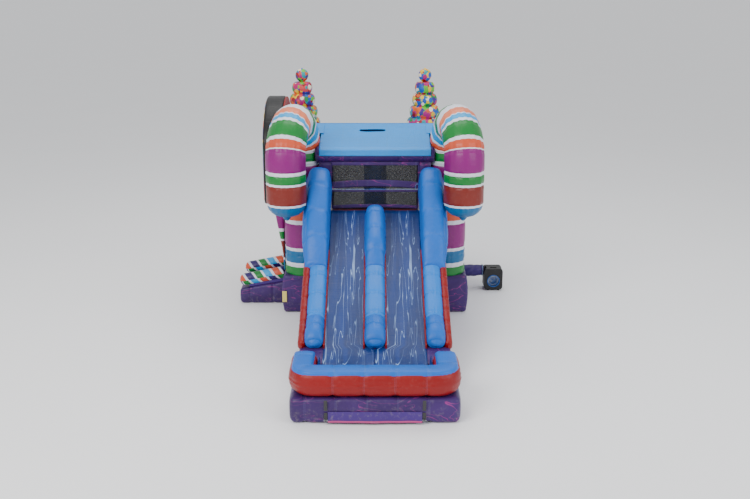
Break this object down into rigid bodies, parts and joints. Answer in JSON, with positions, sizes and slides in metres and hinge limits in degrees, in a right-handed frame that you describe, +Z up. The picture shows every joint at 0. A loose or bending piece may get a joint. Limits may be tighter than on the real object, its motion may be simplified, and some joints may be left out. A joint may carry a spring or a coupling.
{
  "type": "inflatable bounce house",
  "caption": "Inflatable jumping room with a twin-lane front slide into a splash pool, striped cane corner posts, tiered cones, an entrance ramp and a blower.",
  "frame": {"origin": "on the ground under the centre of the square jumping area", "axes": "+Z up, -Y from the jumping area down the slide to the pool, +X towards the blower"},
  "size_m": [5.91, 9.3557, 4.849],
  "materials": {
    "vinyl_purple": "satin",
    "vinyl_blue": "satin",
    "vinyl_sky": "satin",
    "vinyl_red": "satin",
    "vinyl_marble": "satin",
    "vinyl_stripes": "satin",
    "vinyl_beans": "satin",
    "vinyl_black": "satin",
    "sign_print": "satin",
    "floor_mat": "matte",
    "mesh_black": "matte",
    "step_yellow": "satin",
    "webbing_black": "matte",
    "cord_blue": "matte",
    "zinc_steel": "satin",
    "blower_black": "satin",
    "inlet_blue": "gloss",
    "fan_grey": "satin",
    "motor_grey": "satin",
    "switch_black": "gloss",
    "zip_black": "matte",
    "card_blank": "satin",
    "sleeve_band": "satin",
    "baffle_white": "matte"
  },
  "bodies": {
    "root": {"jump_base": "vinyl_purple", "jump_floor": "floor_mat", "wall_kerb": "vinyl_purple", "cane_left": "vinyl_stripes", "cane_right": "vinyl_stripes", "rear_posts": "vinyl_blue", "cone_left": "vinyl_beans", "cone_right": "vinyl_beans", "beam_front": "vinyl_purple", "beam_left": "vinyl_blue", "beam_right": "vinyl_blue", "beam_rear": "vinyl_blue", "ridge_frame": "vinyl_blue", "roof_canopy": "vinyl_sky", "net_right": "mesh_black", "net_rear": "mesh_black", "net_left": "mesh_black", "door_frame": "vinyl_blue", "sign_panel": "vinyl_black", "sign_face": "sign_print", "sign_back": "vinyl_red", "sign_legs": "sign_print", "ramp_body": "vinyl_purple", "ramp_rails": "vinyl_stripes", "climb_wall": "vinyl_red", "climb_steps": "step_yellow", "climb_handles": "webbing_black", "divider_post": "vinyl_blue", "slide_body": "vinyl_purple", "air_baffles": "baffle_white", "lane_left": "vinyl_marble", "lane_right": "vinyl_marble", "rail_bulbs": "vinyl_blue", "rail_pads": "vinyl_sky", "rail_bumpers": "vinyl_blue", "pool_base": "vinyl_purple", "pool_wall": "vinyl_red", "pool_ring": "vinyl_blue", "pool_liner": "vinyl_marble", "pool_apron": "vinyl_purple", "anchor_webs": "webbing_black", "net_upper": "mesh_black", "tie_cord": "cord_blue", "inflation_sleeve": "vinyl_purple", "sleeve_strap": "sleeve_band", "zip_parts": "zip_black", "placard": "card_blank"},
    "net_flap": {"net_flap": "mesh_black"},
    "blower": {"blower_housing": "blower_black", "blower_back": "blower_black", "blower_outlet": "blower_black", "inlet_guard": "inlet_blue", "motor": "motor_grey", "cord_gland": "switch_black"},
    "impeller": {"impeller": "fan_grey"},
    "rocker": {"switch_rocker": "switch_black"},
    "zip_slider": {"zip_slider": "zinc_steel"},
    "zip_pull": {"zip_pull": "zinc_steel"},
    "ring_left": {"anchor_ring_left": "zinc_steel"},
    "ring_right": {"anchor_ring_right": "zinc_steel"}
  },
  "joints": [
    {"name": "net_flap_hinge", "type": "hinge", "parent": "root", "child": "net_flap", "pos_m": [0, -1.915, 2.69], "axis": [-1, 0, 0], "range_deg": [0, 70]},
    {"name": "blower_slide", "type": "slide", "parent": "root", "child": "blower", "axis": [1, 0, 0], "range_m": [0, 0.5]},
    {"name": "impeller_spin", "type": "hinge", "parent": "blower", "child": "impeller", "pos_m": [2.71, -0.39, 0.2298], "axis": [0, 1, 0], "continuous": true},
    {"name": "switch_tilt", "type": "hinge", "parent": "blower", "child": "rocker", "pos_m": [2.787, -0.094, 0.416], "axis": [1, 0, 0], "range_deg": [-8, 8]},
    {"name": "zip_run", "type": "slide", "parent": "root", "child": "zip_slider", "axis": [1, 0, 0], "range_m": [0, 0.58]},
    {"name": "zip_pull_hinge", "type": "hinge", "parent": "zip_slider", "child": "zip_pull", "pos_m": [-0.29, 1.9935, 0.26], "axis": [1, 0, 0], "range_deg": [-5, 120]},
    {"name": "ring_left_hinge", "type": "hinge", "parent": "root", "child": "ring_left", "pos_m": [-0.79, -7.352, 0.09], "axis": [-1, 0, 0], "range_deg": [0, 140]},
    {"name": "ring_right_hinge", "type": "hinge", "parent": "root", "child": "ring_right", "pos_m": [0.79, -7.352, 0.09], "axis": [-1, 0, 0], "range_deg": [0, 140]}
  ]
}
